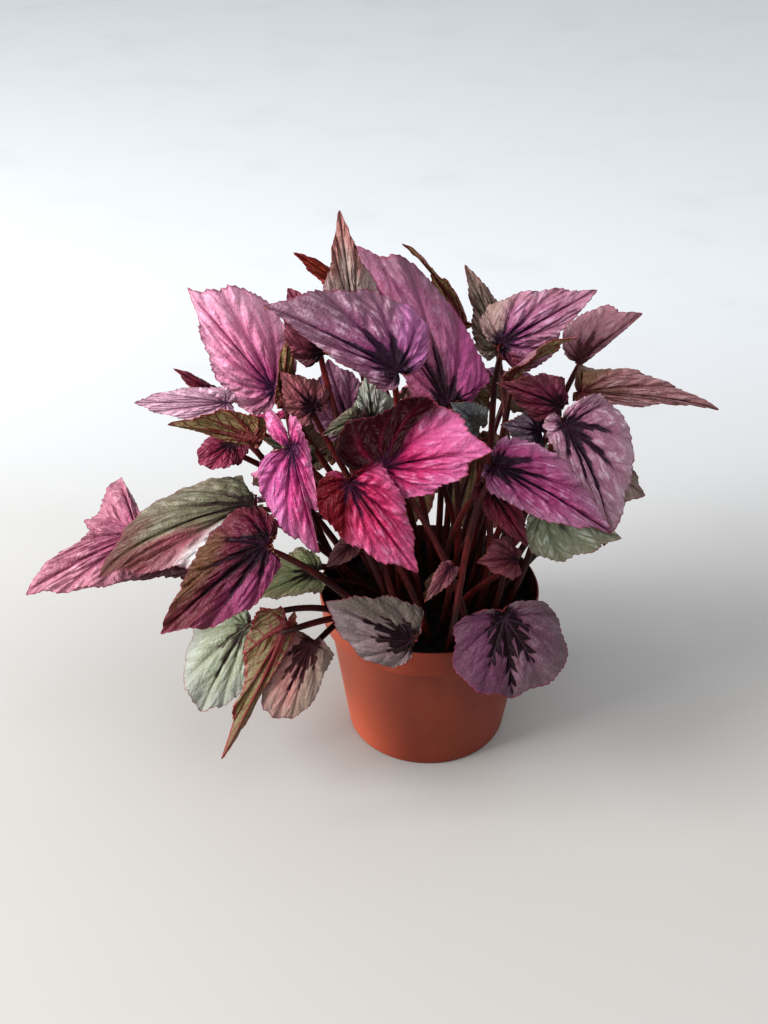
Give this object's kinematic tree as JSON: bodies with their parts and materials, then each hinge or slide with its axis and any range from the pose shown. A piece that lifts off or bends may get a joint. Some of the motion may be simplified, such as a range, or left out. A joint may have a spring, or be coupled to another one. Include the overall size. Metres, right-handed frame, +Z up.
{
  "type": "potted rex begonia",
  "caption": "Potted rex begonia: a low mound of lopsided, wavy, toothed leaves on arching stalks, rooted in soil in a round tapered nursery pot.",
  "frame": {"origin": "middle of the pot's underside", "axes": "+Z up along the pot's axis, -Y towards the side the plant is seen from, +X to that viewer's right"},
  "size_m": [0.358, 0.2111, 0.2951],
  "materials": {
    "pot": "terracotta-coloured moulded plastic, satin",
    "soil": "damp dark potting compost, rough",
    "rhizome": "brown, rough and scarred",
    "leaf_crimson": "dark crimson, satin sheen",
    "leaf_khaki": "khaki with silvery patches",
    "leaf_lavender": "silvery lavender with a brown star, satin",
    "leaf_magenta": "magenta with dark veins, hairy satin",
    "leaf_olive": "olive green with red-brown veins",
    "leaf_pink": "bright pink with plum veins, satin",
    "leaf_plum": "deep plum, near-black along the veins",
    "leaf_purple": "purple with near-black centre, satin",
    "leaf_rose": "silvery rose with dark veins",
    "leaf_rust": "orange-red, satin",
    "leaf_silver": "silver-grey with dark green veins",
    "leaf_underside": "olive-brown underside with raised dark red veins"
  },
  "bodies": {
    "root": {"pot": "pot", "soil": "soil", "rhizome": "rhizome", "leaf_01": "leaf_purple", "leaf_02": "leaf_magenta", "leaf_03": "leaf_magenta", "leaf_04": "leaf_pink", "leaf_05": "leaf_purple", "leaf_06": "leaf_purple", "leaf_07": "leaf_olive", "leaf_08": "leaf_silver", "leaf_09": "leaf_lavender", "leaf_10": "leaf_lavender", "leaf_11": "leaf_rose", "leaf_12": "leaf_underside", "leaf_13": "leaf_plum", "leaf_14": "leaf_silver", "leaf_15": "leaf_olive", "leaf_16": "leaf_pink", "leaf_17": "leaf_underside", "leaf_18": "leaf_olive", "leaf_19": "leaf_pink", "leaf_20": "leaf_crimson", "leaf_21": "leaf_crimson", "leaf_22": "leaf_pink", "leaf_23": "leaf_olive", "leaf_24": "leaf_pink", "leaf_25": "leaf_pink", "leaf_26": "leaf_underside", "leaf_27": "leaf_crimson", "leaf_28": "leaf_magenta", "leaf_29": "leaf_olive", "leaf_30": "leaf_purple", "leaf_31": "leaf_crimson", "leaf_32": "leaf_rust", "leaf_33": "leaf_khaki", "leaf_34": "leaf_underside", "leaf_35": "leaf_khaki", "leaf_36": "leaf_purple", "leaf_37": "leaf_underside", "leaf_38": "leaf_pink", "leaf_39": "leaf_pink", "leaf_40": "leaf_purple", "leaf_41": "leaf_silver", "leaf_42": "leaf_pink", "leaf_43": "leaf_crimson", "leaf_44": "leaf_silver", "leaf_45": "leaf_purple", "leaf_46": "leaf_purple", "leaf_47": "leaf_pink", "leaf_48": "leaf_purple", "leaf_49": "leaf_magenta", "leaf_50": "leaf_silver", "leaf_51": "leaf_plum", "leaf_52": "leaf_lavender", "leaf_53": "leaf_pink", "leaf_54": "leaf_purple", "leaf_55": "leaf_lavender", "leaf_56": "leaf_underside", "leaf_57": "leaf_underside"}
  },
  "joints": []
}
